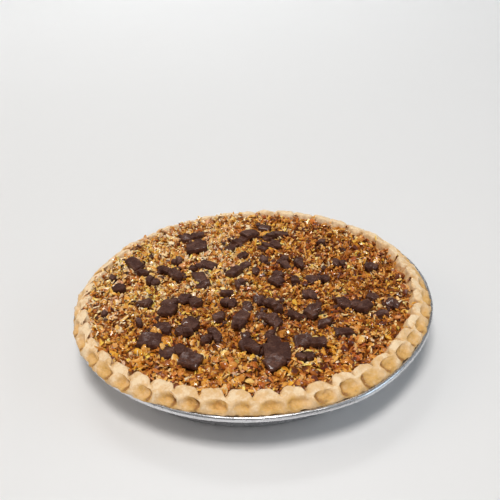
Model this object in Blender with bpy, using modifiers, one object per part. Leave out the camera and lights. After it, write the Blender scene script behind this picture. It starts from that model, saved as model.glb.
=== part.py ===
# Chocolate pecan pie in its own foil tin, uncut.
# The origin is the centre of the tin's base, +Z is up, and the pie's front is at -Y.

import math
import random

import bmesh
import bpy
from mathutils import Euler, Vector

MM = 0.001
GAP = 0.3 * MM

# Foil tin, a standard nine inch pie pan
TIN_BASE_R = 98.2 * MM
TIN_WALL_TOP_R = 110.8 * MM
TIN_FLANGE_R = 122.3 * MM
TIN_RIM_R = 124.2 * MM
TIN_FLANGE_Z = 29.0 * MM
TIN_BEAD = 2.1 * MM
TIN_THICK = 0.7 * MM
TIN_STEPS = 60

# Crust
FLUTES = 45
FIRST_NOTCH = math.radians(-95.45)
FLUTE_DRIFT = math.radians(4.1)
FLUTE_DRIFT_FROM = math.radians(188)
PLACES_IN_FLUTE = (-0.5, -0.36, -0.18, 0.0, 0.18, 0.36)
CRUST_CLEARANCE = 0.45 * MM
CRUST_THICK = 4.1 * MM
CRUST_FLOOR_R = 94.0 * MM
HOLLOW_EDGES = (0.2, 0.38)
NOTCH_SHARPNESS = 4
HOLLOW_LEAN = 0.17
HOLLOW_LEAN_AT_LEFT = 0.58
MOST_TO_LEFT = 0.8
EDGE_SHIFT = 0.5 * MM
FLUTE_HEIGHT_VARIES = (-0.6 * MM, 0.6 * MM)
HOLLOW_DEPTH_VARIES = (-0.5 * MM, 0.8 * MM)
FLUTE_INWARD_VARIES = (-0.5 * MM, 0.5 * MM)

# The crust's edge in section, from the top of its wall over the crest to the outer edge.
# A row has its radius and height in a flute's middle and between two flutes, in millimetres,
# what blends the two, and the share of the flute's lean that it takes.
RIM = {
    "wall_top": ((106.9, 30.5), (106.9, 30.5), "notch", 0),
    "inner_shoulder": ((107.9, 35.9), (111.4, 33.6), "notch", 0),
    "crest": ((110.1, 37.9), (113.2, 37.3), "notch", 0.2),
    "outer_shoulder": ((112.9, 36.9), (118.4, 36.3), "hollow", 0.7),
    "hollow_floor": ((115.4, 31.9), (119.9, 34.6), "hollow", 1),
    "skirt": ((119.9, 31.4), (121.0, 32.3), "hollow", 1),
    "edge": ((121.0, 29.75), (121.4, 29.75), "hollow", 1),
}
ROWS_THAT_MOVE_IN = ("inner_shoulder", "crest")
ROWS_THAT_RISE = ("inner_shoulder", "crest", "outer_shoulder")

# Filling
FILLING_EDGE_R = 106.5 * MM
FILLING_BASE_R = 93.3 * MM
FILLING_EDGE_Z = 33.1 * MM
FILLING_DOME = 3.0 * MM
FILLING_RISE = 1.6 * MM
FILLING_RISE_TOWARDS = math.radians(118)
FILLING_RINGS = (92 * MM, 72 * MM, 48 * MM, 24 * MM)

# Chopped pecans that are large enough to show from a step away
NUT_COUNT = 104
NUT_LENGTH = (5.2 * MM, 9.0 * MM)
NUT_WIDTH = (3.8 * MM, 5.6 * MM)
NUT_HEIGHT = (3.0 * MM, 4.2 * MM)
NUT_SUNK = 0.38
NUT_TOP_SHARE = 0.75
NUT_UNEVEN = (0.78, 1.0)
NUT_CLEAR = 0.9 * MM
NUT_TRIES = 9000
NUT_LEAN = 0.25
FRONT_NUT_SHARE = 0.85
FRONT_NUTS = ((-16, -71), (-5, -86), (8, -90), (-24, -85), (-44, -84), (24, -90), (44, -80))

# Chocolate
LUMP_SIDES = 7
# The spread and the share of the height that each level of a lump has, from its top to its underside
LUMP_LEVELS = {2: (0.0, 1.0), 1: (0.8, 0.9), 0: (1.0, 0.42), -1: (0.84, 0.0), -2: (0.0, 0.0)}
CHIP_HEIGHT = (2.8 * MM, 4.6 * MM)
CHIP_SLOPE = 0.1
CHIP_SIDES_VARY = (0.86, 1.08)
STEP_IN_CLUSTER = 0.22 * MM
CLUSTER_GROWTH = 1.13

# Each cluster is one piece of chocolate, or a few that melted together.
# A lump in it is its place in x and y, length, width and turn, in millimetres and degrees.
CHOCOLATE = {
    "back_left": (
        ((-45.5, 74, 9, 8, 0), (-37.5, 76, 10, 8, 20)),
        ((-37, 64, 9, 8, 60), (-37, 56, 16, 10, 0)),
        ((-83, 41.5, 17, 10, -58),),
        ((-75, 27, 10, 8, 0),),
        ((-68.5, 14.5, 11, 8, -20),),
        ((-97, 25, 8, 6, -60),),
        ((-91, 10.5, 12, 9, -10),),
        ((-52, 39.5, 9.5, 8.5, 0),),
        ((-62, 32, 8, 7, -50), (-56.5, 26, 10, 7, -50), (-51, 18, 11, 7, -55)),
        ((-28.5, 31, 12, 8, -20), (-37, 28.5, 10, 7, 10)),
        ((-34, 14.5, 13, 9, -70), (-31.5, 5, 10, 7.5, 20)),
        ((-11, 56, 11, 7, 45), (-4.5, 63.5, 12, 7, 45), (3, 70, 12, 8, 35)),
        ((-3, 41.5, 9, 8, 0),),
        ((-3.5, 26.5, 12, 7, 55), (-10, 17.5, 12, 7, 50)),
        ((-6.5, 4, 9.5, 9, 60),),
        ((5.2, 19, 8, 7, 60),),
    ),
    "back_right": (
        ((14, 83.5, 11, 8, -10),),
        ((25.5, 71.5, 14, 8, 5), (17, 67, 10, 8.5, 30)),
        ((13.5, 52.5, 11, 9, 20), (21.5, 54.5, 9, 8, 10)),
        ((11.5, 34, 9, 6.5, 80),),
        ((24.5, 32, 10, 8, 70), (26.5, 24, 9, 7, -60)),
        ((36.5, 31.5, 9, 6.5, 80), (36.5, 25.5, 9, 7, 85)),
        ((55, 56.5, 8.5, 8, 0),),
        ((65.5, 26, 9.5, 8.5, -40),),
        ((87, 20, 11, 9, 10),),
        ((20.5, 12, 9, 7, -70), (19, 4.5, 10, 9, -60)),
        ((32.5, 5.5, 9, 6.5, 75),),
        ((43.5, 6.5, 10, 8, 30), (51, 4.5, 11, 7, 0)),
    ),
    "front_left": (
        ((-71.5, -11.5, 11, 7.5, -20),),
        ((-54.5, -14.5, 11, 8.5, -5), (-55, -22.5, 12, 10.5, -20)),
        ((-44, -10, 10, 9, 60), (-37.5, -15, 11, 9, -60)),
        ((-16, -5.5, 10.5, 8.5, 0),),
        ((-14.5, -18.5, 11.5, 9.5, -10),),
        ((-98, -20, 6.5, 5, 60),),
        ((-73.5, -33, 7.5, 5.5, -60),),
        ((-58.5, -38, 9.5, 9, 10), (-54.5, -43.5, 10, 6.5, 70)),
        ((-41, -36.5, 9, 7, 30), (-38, -42, 10, 8, -50), (-43, -48, 10, 8, 10)),
        ((-28.5, -55, 10, 7.5, 50), (-23, -53, 12, 6.5, -65)),
        ((-20.5, -33.5, 10.5, 8, 60),),
        ((-2, -26, 11, 7.5, 75), (-6, -36, 12, 8.5, 60), (-8.5, -44.5, 10, 7, 10)),
        ((-1, -55, 11, 7.5, 80), (-3, -65, 12, 8, -75), (1.5, -72, 7, 6, -30)),
        ((-65, -52.5, 16, 11, -10),),
        ((-53, -66.5, 11, 10, -20), (-43.5, -68, 12, 11, -10), (-38.5, -77.5, 13, 10, -20)),
    ),
    "front_right": (
        ((6, -17.5, 9, 7, -40), (12.5, -22, 9, 6, -30), (17.5, -28, 9.5, 7, -70)),
        ((8, -35, 11, 7, -30), (14, -42, 10.5, 8, -40)),
        ((27.5, -35.5, 12, 7.5, -40),),
        ((40, -13, 10.5, 9, -20),),
        ((43.5, -27, 9, 6, 70), (39.5, -34.5, 11, 10, 40)),
        ((46.5, -45.5, 11, 6, 15),),
        ((58, -55.5, 13, 7.5, 10),),
        ((31.5, -62.5, 12, 9, 10), (40, -64.5, 12, 9, -20)),
        ((32, -77.5, 14, 10.5, 10),),
        (
            (10.5, -57.5, 10, 6.5, 80),
            (13.5, -64.5, 11, 8, -50),
            (15, -74, 17, 13, 5),
            (12.5, -83, 12, 10, 30),
        ),
        ((61.5, -25, 12, 8, -30), (68.5, -27.5, 8, 6, -10), (74.5, -30.5, 11, 9, 30)),
        ((82, -18, 10, 8, -30),),
        ((94, -26, 9.5, 9, 0),),
        ((84.5, -37, 10, 6, -10),),
    ),
}


def smooth(low, high, value):
    share = min(max((value - low) / (high - low), 0), 1)
    return share * share * (3 - 2 * share)


def between(first, second, share):
    return first + (second - first) * share


def filling_top(x, y):
    """Height of the bare filling: a low dome that stands a little higher at the back left."""
    across = math.hypot(x, y) / FILLING_EDGE_R
    along = x * math.cos(FILLING_RISE_TOWARDS) + y * math.sin(FILLING_RISE_TOWARDS)
    return FILLING_EDGE_Z + FILLING_DOME * (1 - across ** 2) + FILLING_RISE * along / FILLING_EDGE_R


def clear_scene():
    for thing in list(bpy.data.objects):
        bpy.data.objects.remove(thing, do_unlink=True)


def make_collection(name):
    collection = bpy.data.collections.new(name)
    bpy.context.scene.collection.children.link(collection)
    return collection


def make_material(name, colour, roughness, metallic=0.0):
    material = bpy.data.materials.new(name)
    material.use_nodes = True
    shader = material.node_tree.nodes["Principled BSDF"]
    shader.inputs["Base Color"].default_value = (*colour, 1)
    shader.inputs["Roughness"].default_value = roughness
    shader.inputs["Metallic"].default_value = metallic
    material.diffuse_color = (*colour, 1)
    return material


def object_from(form, name, collection, material=None):
    """Writes the bmesh to a new object, facing out."""
    bmesh.ops.recalc_face_normals(form, faces=form.faces)
    mesh = bpy.data.meshes.new(name)
    form.to_mesh(mesh)
    form.free()
    thing = bpy.data.objects.new(name, mesh)
    collection.objects.link(thing)
    if material:
        mesh.materials.append(material)
    return thing


def apply_modifiers(thing):
    graph = bpy.context.evaluated_depsgraph_get()
    whole = bpy.data.meshes.new_from_object(thing.evaluated_get(graph))
    thing.modifiers.clear()
    thing.data = whole


def turned(name, profile, steps, collection, material):
    """Turns a profile of (radius, height), which runs from the axis out and down the outer side."""
    form = bmesh.new()
    points = [form.verts.new((radius, 0, height)) for radius, height in profile]
    for first, second in zip(points, points[1:]):
        form.edges.new((first, second))
    mesh = bpy.data.meshes.new(name)
    form.to_mesh(mesh)
    form.free()
    mesh.materials.append(material)
    thing = bpy.data.objects.new(name, mesh)
    collection.objects.link(thing)
    screw = thing.modifiers.new("turn", "SCREW")
    screw.steps = steps
    screw.render_steps = steps
    screw.use_merge_vertices = True
    screw.merge_threshold = 0.01 * MM
    screw.use_smooth_shade = False
    return thing


def make_tin(collection, material):
    under = TIN_FLANGE_Z - TIN_THICK
    side = TIN_THICK * 0.9
    corner = 1.1 * MM
    rim_middle = TIN_FLANGE_Z + TIN_THICK * 0.2
    profile = (
        (0, TIN_THICK),
        (TIN_BASE_R - side, TIN_THICK),
        (TIN_WALL_TOP_R, TIN_FLANGE_Z),
        (TIN_FLANGE_R, TIN_FLANGE_Z),
        (TIN_RIM_R - 0.7 * TIN_BEAD, rim_middle + 0.42 * TIN_BEAD),
        (TIN_RIM_R - 0.25 * TIN_BEAD, rim_middle + 0.45 * TIN_BEAD),
        (TIN_RIM_R, rim_middle),
        (TIN_RIM_R - 0.3 * TIN_BEAD, rim_middle - 0.55 * TIN_BEAD),
        (TIN_FLANGE_R, under),
        (TIN_WALL_TOP_R + side, under),
        (TIN_BASE_R + 0.35 * corner, corner),
        (TIN_BASE_R - corner, 0),
        (0, 0),
    )
    return turned("foil_tin", profile, TIN_STEPS, collection, material)


def flute_angle(place):
    """Angle of a place counted in flutes, which lie a little closer in some stretches than in others."""
    even = FIRST_NOTCH + (place + 0.5) * 2 * math.pi / FLUTES
    return even + FLUTE_DRIFT * math.sin(even + FLUTE_DRIFT_FROM)


def rim_section(place, draw):
    """Radius, height and lean of each row of the crust's edge, at one place in a flute."""
    blends = {
        "hollow": smooth(*HOLLOW_EDGES, abs(place)),
        "notch": (2 * abs(place)) ** NOTCH_SHARPNESS,
    }
    section = []
    for row, (middle, ridge, blend, lean) in RIM.items():
        share = blends[blend]
        radius = between(middle[0], ridge[0], share) * MM
        height = between(middle[1], ridge[1], share) * MM
        if row in ROWS_THAT_MOVE_IN:
            radius += draw["inward"] * (1 - share)
        if row in ROWS_THAT_RISE:
            height += draw["height"]
        if row == "hollow_floor":
            height += draw["depth"] * (1 - share)
        section.append((radius, height, lean))
    return section


def make_crust(collection, material):
    form = bmesh.new()
    draws = random.Random(11)
    columns = []
    for flute in range(FLUTES):
        draw = {
            "height": draws.uniform(*FLUTE_HEIGHT_VARIES),
            "depth": draws.uniform(*HOLLOW_DEPTH_VARIES),
            "inward": draws.uniform(*FLUTE_INWARD_VARIES),
        }
        for place in PLACES_IN_FLUTE:
            angle = flute_angle(flute + place)
            to_left = min(max(-math.cos(angle), 0), MOST_TO_LEFT)
            lean = (HOLLOW_LEAN + HOLLOW_LEAN_AT_LEFT * to_left) * 2 * math.pi / FLUTES
            column = []
            for radius, height, share in rim_section(place, draw):
                turn = angle + lean * share
                out_x = radius * math.cos(turn) - EDGE_SHIFT * share
                out_y = radius * math.sin(turn)
                column.append(form.verts.new((out_x, out_y, height)))
            columns.append(column)
    for first, second in zip(columns, columns[1:] + columns[:1]):
        for row in range(len(first) - 1):
            form.faces.new((first[row], second[row], second[row + 1], first[row + 1]))

    def ring(radius, height):
        spots = []
        for flute in range(FLUTES):
            turn = flute_angle(flute)
            spots.append(form.verts.new((radius * math.cos(turn), radius * math.sin(turn), height)))
        return spots

    def join(rim, wall):
        """Joins the rim's many columns to a ring that has one point at each flute's middle."""
        each = len(PLACES_IN_FLUTE)
        middle = PLACES_IN_FLUTE.index(0.0)
        for flute in range(FLUTES):
            here = wall[flute]
            there = wall[(flute + 1) % FLUTES]
            start = flute * each + middle
            spots = [rim[(start + step) % len(rim)] for step in range(each + 1)]
            half = each // 2
            for step in range(each):
                near = here if step < half else there
                form.faces.new((spots[step], spots[step + 1], near))
            form.faces.new((spots[half], there, here))

    floor = TIN_THICK + CRUST_CLEARANCE - 0.1 * MM
    inside = ring(CRUST_FLOOR_R, floor + CRUST_THICK)
    join([column[0] for column in columns], inside)
    form.faces.new(inside)
    shoulder = ring(TIN_WALL_TOP_R - CRUST_CLEARANCE, TIN_FLANGE_Z + CRUST_CLEARANCE)
    base = ring(TIN_BASE_R - 0.9 * TIN_THICK - CRUST_CLEARANCE, floor)
    join([column[-1] for column in columns], shoulder)
    for flute in range(FLUTES):
        after = (flute + 1) % FLUTES
        form.faces.new((shoulder[flute], shoulder[after], base[after], base[flute]))
    form.faces.new(base)
    return object_from(form, "crust", collection, material)


def lump(x, y, length, width, turn, lift, draws):
    """A chip of chocolate: blocky, flat on top and under, with uneven sides, resting on the filling.
    Each level of the ball that it starts as gets its own spread and its share of the height."""
    form = bmesh.new()
    bmesh.ops.create_uvsphere(form, u_segments=LUMP_SIDES, v_segments=4, radius=1)
    height = draws.uniform(*CHIP_HEIGHT)
    heading = math.radians(turn)
    sides = [draws.uniform(*CHIP_SIDES_VARY) for _ in range(LUMP_SIDES)]
    slope_x = draws.uniform(-CHIP_SLOPE, CHIP_SLOPE)
    slope_y = draws.uniform(-CHIP_SLOPE, CHIP_SLOPE)
    for point in form.verts:
        around = math.atan2(point.co.y, point.co.x)
        side = sides[round(around / (2 * math.pi) * LUMP_SIDES) % LUMP_SIDES]
        level = round(math.asin(max(-1, min(1, point.co.z))) / (math.pi / 4))
        spread, share = LUMP_LEVELS[level]
        across_x = spread * side * math.cos(around)
        across_y = spread * side * math.sin(around)
        along = across_x * length / 2
        aside = across_y * width / 2
        spot_x = x + along * math.cos(heading) - aside * math.sin(heading)
        spot_y = y + along * math.sin(heading) + aside * math.cos(heading)
        base = filling_top(spot_x, spot_y) + GAP + lift
        tilt = 1 + slope_x * across_x + slope_y * across_y
        point.co = (spot_x, spot_y, base + height * share * tilt)
    return form


def make_chocolate(collection, material):
    """One object for each cluster, with its lumps joined by a union."""
    draws = random.Random(5)
    made = []
    clusters = [cluster for quarter in CHOCOLATE.values() for cluster in quarter]
    for number, cluster in enumerate(clusters, 1):
        name = f"chocolate_{number:02d}"
        parts = bpy.data.collections.new(name + "_lumps")
        first = None
        for order, (x, y, length, width, turn) in enumerate(cluster):
            lift = order * STEP_IN_CLUSTER
            scale = CLUSTER_GROWTH * MM if len(cluster) > 1 else MM
            form = lump(x * MM, y * MM, length * scale, width * scale, turn, lift, draws)
            if first is None:
                first = object_from(form, name, collection, material)
            else:
                object_from(form, f"{name}_lump_{order}", parts, material)
        if len(cluster) > 1:
            union_with(first, parts)
        bpy.data.collections.remove(parts)
        made.append(first)
    return made


def union_with(whole, parts):
    """Joins the collection's objects to the whole, and removes them."""
    bpy.context.scene.collection.children.link(parts)
    join = whole.modifiers.new("union", "BOOLEAN")
    join.operation = "UNION"
    join.operand_type = "COLLECTION"
    join.collection = parts
    bpy.context.view_layer.update()
    apply_modifiers(whole)
    for thing in list(parts.objects):
        bpy.data.objects.remove(thing, do_unlink=True)


def nut_places(draws):
    """Places for the large nut bits, clear of each other, of the chocolate and of the crust."""
    chocolate = [lump_at for quarter in CHOCOLATE.values() for cluster in quarter for lump_at in cluster]
    kept = []

    def place_one(x, y, size):
        reach = size[0] / 2
        if math.hypot(x, y) + reach > FILLING_EDGE_R - NUT_CLEAR:
            return False
        for other_x, other_y, length, width, _ in chocolate:
            away = math.hypot(x - other_x * MM, y - other_y * MM)
            if away < reach + max(length, width) * MM / 2 + NUT_CLEAR:
                return False
        for other_x, other_y, other_size in kept:
            if math.hypot(x - other_x, y - other_y) < reach + other_size[0] / 2 + NUT_CLEAR:
                return False
        kept.append((x, y, size))
        return True

    def draw_size(share):
        length = between(*NUT_LENGTH, share)
        return length, draws.uniform(*NUT_WIDTH), draws.uniform(*NUT_HEIGHT)

    for x, y in FRONT_NUTS:
        place_one(x * MM, y * MM, draw_size(FRONT_NUT_SHARE))
    for count in range(NUT_TRIES):
        if len(kept) >= NUT_COUNT:
            break
        size = draw_size(1 - count / NUT_TRIES)
        away = FILLING_EDGE_R * math.sqrt(draws.random())
        turn = draws.uniform(-math.pi, math.pi)
        place_one(away * math.cos(turn), away * math.sin(turn), size)
    return kept


def nut_bit(x, y, size, draws):
    """One chopped piece of pecan: an uneven block, a part of it sunk in the filling."""
    form = bmesh.new()
    bmesh.ops.create_cube(form, size=1)
    length, width, height = size
    leans = [draws.uniform(-NUT_LEAN, NUT_LEAN) for _ in range(2)]
    turn = Euler((*leans, draws.uniform(-math.pi, math.pi)))
    centre = Vector((x, y, filling_top(x, y) + height * (0.5 - NUT_SUNK)))
    for point in form.verts:
        squeeze = NUT_TOP_SHARE if point.co.z > 0 else 1
        uneven = [draws.uniform(*NUT_UNEVEN) for _ in range(3)]
        corner = Vector((
            point.co.x * length * squeeze * uneven[0],
            point.co.y * width * squeeze * uneven[1],
            point.co.z * height * uneven[2],
        ))
        corner.rotate(turn)
        point.co = centre + corner
    return form


def make_filling(collection, material):
    """The set filling with a low dome, and the large nut bits on it joined to it."""
    floor = TIN_THICK + CRUST_CLEARANCE + CRUST_THICK + GAP
    top = [(radius, FILLING_EDGE_Z + MM) for radius in (0, *reversed(FILLING_RINGS), FILLING_EDGE_R)]
    profile = (*top, (FILLING_BASE_R, floor), (0, floor))
    filling = turned("pecan_filling", profile, FLUTES, collection, material)
    bpy.context.view_layer.update()
    apply_modifiers(filling)
    for point in filling.data.vertices:
        if point.co.z > FILLING_EDGE_Z:
            point.co.z = filling_top(point.co.x, point.co.y)
    draws = random.Random(23)
    nuts = bpy.data.collections.new("nut_bits")
    for count, (x, y, size) in enumerate(nut_places(draws), 1):
        object_from(nut_bit(x, y, size, draws), f"nut_{count}", nuts, material)
    union_with(filling, nuts)
    bpy.data.collections.remove(nuts)
    return filling


def main():
    clear_scene()
    pie = make_collection("chocolate_pecan_pie")
    foil = make_material("foil", (0.74, 0.75, 0.77), 0.3, 1.0)
    pastry = make_material("pastry", (0.78, 0.55, 0.28), 0.7)
    nuts = make_material("candied_pecans", (0.45, 0.20, 0.05), 0.35)
    dark = make_material("dark_chocolate", (0.045, 0.022, 0.018), 0.35)
    make_tin(pie, foil)
    make_crust(pie, pastry)
    make_filling(pie, nuts)
    make_chocolate(pie, dark)


main()
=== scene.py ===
# Looks of a whole chocolate pecan pie in its foil tin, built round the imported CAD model.
# Lengths in the settings are in millimetres and angles in degrees. The pie's front is at -Y.
import math
import random

import bmesh
import bpy
import numpy as np
from mathutils import Euler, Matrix, Quaternion, Vector, noise


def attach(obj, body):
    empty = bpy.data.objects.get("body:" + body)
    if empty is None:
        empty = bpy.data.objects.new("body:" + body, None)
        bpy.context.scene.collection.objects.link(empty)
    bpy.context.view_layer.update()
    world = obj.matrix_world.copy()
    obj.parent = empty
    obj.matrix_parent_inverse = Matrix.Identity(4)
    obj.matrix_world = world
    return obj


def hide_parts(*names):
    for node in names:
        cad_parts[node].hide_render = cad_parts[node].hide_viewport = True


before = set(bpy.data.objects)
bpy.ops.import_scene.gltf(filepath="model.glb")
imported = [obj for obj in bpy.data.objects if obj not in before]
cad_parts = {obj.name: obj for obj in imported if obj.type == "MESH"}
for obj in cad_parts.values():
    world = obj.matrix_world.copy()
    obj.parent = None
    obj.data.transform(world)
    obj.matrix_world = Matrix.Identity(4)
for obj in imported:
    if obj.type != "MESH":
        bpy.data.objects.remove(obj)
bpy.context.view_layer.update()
mm = 0.001
fullTurn = 2 * math.pi


def smooth(low, high, value):
    share = np.clip((value - low) / (high - low), 0, 1)
    return share * share * (3 - 2 * share)


def between(first, second, share):
    return first + (second - first) * share


def softNoise(points, size, seed, detail=1):
    # a random field of about -1 to 1, whose lumps are as large as size
    shift = Vector((seed * 7.31, seed * 3.17, seed * 5.73))
    total = np.zeros(len(points))
    for level in range(detail):
        scale = 2 ** level / size
        layer = [noise.noise(Vector(spot) * scale + shift) for spot in points]
        total += np.array(layer) / 2 ** level
    return total


def meshFrom(name, points, faces):
    mesh = bpy.data.meshes.new(name)
    mesh.from_pydata((np.asarray(points) * mm).tolist(), [], faces)
    form = bmesh.new()
    form.from_mesh(mesh)
    bmesh.ops.recalc_face_normals(form, faces=form.faces)
    form.to_mesh(mesh)
    form.free()
    return mesh


def addPiece(name, mesh, finish, replaced=(), sharpAngle=None):
    piece = bpy.data.objects.new(name, mesh)
    bpy.context.scene.collection.objects.link(piece)
    mesh.materials.clear()
    mesh.materials.append(finish.material)
    mesh.shade_smooth()
    if sharpAngle is not None:
        mesh.set_sharp_from_angle(angle=math.radians(sharpAngle))
    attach(piece, "root")
    if replaced:
        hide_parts(*replaced)
    return piece


def paint(mesh, name, values):
    # one number, or a colour, for each point of the mesh
    values = np.asarray(values, np.float32)
    kind = "FLOAT" if values.ndim == 1 else "FLOAT_COLOR"
    layer = mesh.attributes.new(name, kind, "POINT")
    layer.data.foreach_set("value" if values.ndim == 1 else "color", values.ravel())


def loft(sections):
    # sections is columns x rows x 3; the rows run round the pie, and a point closes each end
    columns, rows, _ = sections.shape
    points = sections.reshape(-1, 3)
    index = np.arange(columns * rows).reshape(columns, rows)
    after = np.roll(index, -1, axis=0)
    quads = np.stack([index[:, :-1], after[:, :-1], after[:, 1:], index[:, 1:]], axis=-1)
    faces = quads.reshape(-1, 4).tolist()
    caps = []
    for row in (0, -1):
        centre = columns * rows + len(caps)
        caps.append(sections[:, row].mean(axis=0))
        faces += [[a, b, centre] for a, b in zip(index[:, row].tolist(), after[:, row].tolist())]
    return np.vstack([points, caps]), faces


def levelRing(turns, radius, height):
    # a level row of points round the pie, as one row of a loft's sections
    spots = np.stack([radius * np.cos(turns), radius * np.sin(turns), np.full(len(turns), height)], axis=-1)
    return spots[:, None]


def movesAt(turns, moves):
    # the sum of soft bulges round the pie, each with its angle, spread and size
    total = 0
    for angle, spread, size in moves:
        away = (np.degrees(turns) - angle + 180) % 360 - 180
        total = total + size * np.exp(-(away / spread) ** 2)
    return total


def gridNormals(sections):
    around = np.roll(sections, -1, axis=0) - np.roll(sections, 1, axis=0)
    along = np.gradient(sections, axis=1)
    normals = np.cross(around, along)
    return normals / np.maximum(np.linalg.norm(normals, axis=-1, keepdims=True), 1e-9)


def splineRows(keys, steps):
    # keys is columns x rows x 3; a smooth curve runs through the rows of each column
    before = keys[:, :1] * 2 - keys[:, 1:2]
    after = keys[:, -1:] * 2 - keys[:, -2:-1]
    padded = np.concatenate([before, keys, after], axis=1)
    rows = []
    for row in range(keys.shape[1] - 1):
        p0, p1, p2, p3 = (padded[:, row + step] for step in range(4))
        for step in range(steps):
            t = step / steps
            rows.append(0.5 * (2 * p1 + (p2 - p0) * t + (2 * p0 - 5 * p1 + 4 * p2 - p3) * t ** 2
                               + (3 * p1 - p0 - 3 * p2 + p3) * t ** 3))
    rows.append(keys[:, -1])
    return np.stack(rows, axis=1)


class Field:
    # one socket of a material's nodes; arithmetic on it adds Math nodes
    def __init__(self, finish, socket):
        self.finish = finish
        self.socket = socket

    def math(self, operation, first, second):
        return self.finish.node("ShaderNodeMath", {"operation": operation}, {0: first, 1: second})

    def __add__(self, other):
        return self.math("ADD", self, other)

    __radd__ = __add__

    def __sub__(self, other):
        return self.math("SUBTRACT", self, other)

    def __rsub__(self, other):
        return self.math("SUBTRACT", other, self)

    def __mul__(self, other):
        return self.math("MULTIPLY", self, other)

    __rmul__ = __mul__


class Finish:
    # a material, with its Principled shader at hand
    def __init__(self, name, **uniform):
        self.material = bpy.data.materials.new(name)
        self.material.use_nodes = True
        self.tree = self.material.node_tree
        self.shader = self.tree.nodes["Principled BSDF"]
        for socket, value in uniform.items():
            self.shader.inputs[socket.replace("_", " ")].default_value = value

    def node(self, kind, settings, inputs, output=0):
        added = self.tree.nodes.new(kind)
        for key, value in settings.items():
            if key == "stops":
                self.setStops(added.color_ramp, value)
            else:
                setattr(added, key, value)
        for key, value in inputs.items():
            self.feed(added.inputs[key], value)
        return Field(self, added.outputs[output])

    def feed(self, socket, value):
        if isinstance(value, Field):
            self.tree.links.new(value.socket, socket)
        elif isinstance(value, tuple) and socket.type == "RGBA":
            socket.default_value = (*value, 1)
        else:
            socket.default_value = value

    def setStops(self, ramp, stops):
        while len(ramp.elements) < len(stops):
            ramp.elements.new(1)
        for element, (place, colour) in zip(ramp.elements, stops):
            element.position = place
            element.color = (*colour, 1)

    def places(self):
        return self.node("ShaderNodeTexCoord", {}, {}, "Object")

    def grain(self, size, detail=3, roughness=0.55, stretch=(1, 1, 1), seed=0.0):
        # noise of about 0 to 1 whose lumps are as large as size
        shift = (seed, seed * 1.7, seed * 0.6)
        spread = self.node("ShaderNodeMapping", {}, {0: self.places(), 1: shift, 3: stretch})
        return self.node("ShaderNodeTexNoise", {}, {
            "Vector": spread, "Scale": 1 / (size * mm), "Detail": detail, "Roughness": roughness})

    def painted(self, name, output="Fac"):
        return self.node("ShaderNodeAttribute", {"attribute_name": name}, {}, output)

    def mix(self, share, first, second, blend="MIX"):
        settings = {"data_type": "RGBA", "blend_type": blend}
        return self.node("ShaderNodeMix", settings, {0: share, 6: first, 7: second}, 2)

    def ramp(self, share, *stops):
        return self.node("ShaderNodeValToRGB", {"stops": stops}, {0: share})

    def span(self, value, low, high, newLow=0.0, newHigh=1.0):
        return self.node("ShaderNodeMapRange", {"interpolation_type": "SMOOTHSTEP"}, {
            0: value, 1: low, 2: high, 3: newLow, 4: newHigh})

    def bump(self, height, depth, under=None):
        inputs = {"Height": height, "Distance": depth * mm, "Strength": 1.0}
        if under is not None:
            inputs["Normal"] = under
        return self.node("ShaderNodeBump", {}, inputs)

    def wear(self, **fed):
        for socket, value in fed.items():
            self.feed(self.shader.inputs[socket.replace("_", " ")], value)


tinSet = {
    "baseR": 98.2,
    "wallTopR": 110.8,
    "flangeR": 122.3,
    "rimR": 124.2,
    "flangeZ": 29.0,
    # the rolled rim, measured in from its outermost radius and down from the flange
    "rimRoll": ((2.7, -0.1), (2.2, -0.7), (1.6, -1.0), (0.9, -0.95), (0.35, -0.55), (0.05, 0.1),
                (0.26, 0.7), (0.02, 1.3), (0.1, 1.9), (0.55, 2.4), (1.2, 2.5), (1.7, 2.0), (1.9, 1.2)),
    "thick": 0.45,
    "profileStep": 2.4,
    "columns": 720,
    "crimpDepth": 0.22,      # fine pleats in the wall
    "crimpCount": 150,
    "dentDepth": 0.5,        # soft dents of handling
    # the bent rim, each bend by its angle, spread and move
    "rimMoves": ((-60, 14, 2.1), (-130, 34, -2.1), (178, 50, -2.4)),
    "bright": (0.80, 0.80, 0.82),
    "dull": (0.60, 0.60, 0.62),
}


def tinFinish():
    finish = Finish("foil", Metallic=1.0)
    scuffs = finish.grain(5.0, 4, 0.55)
    cloud = finish.grain(22, 2, 0.5, seed=3.0)
    creases = finish.node("ShaderNodeTexVoronoi", {"feature": "DISTANCE_TO_EDGE"}, {
        "Vector": finish.places(), "Scale": 160.0, "Randomness": 1.0})
    finish.wear(
        Base_Color=finish.mix(cloud, tinSet["dull"], tinSet["bright"]),
        Roughness=0.20 + scuffs * 0.14,
        Normal=finish.bump(finish.span(creases, 0.0, 0.2), 0.03, finish.bump(scuffs, 0.12)),
    )
    return finish


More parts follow.
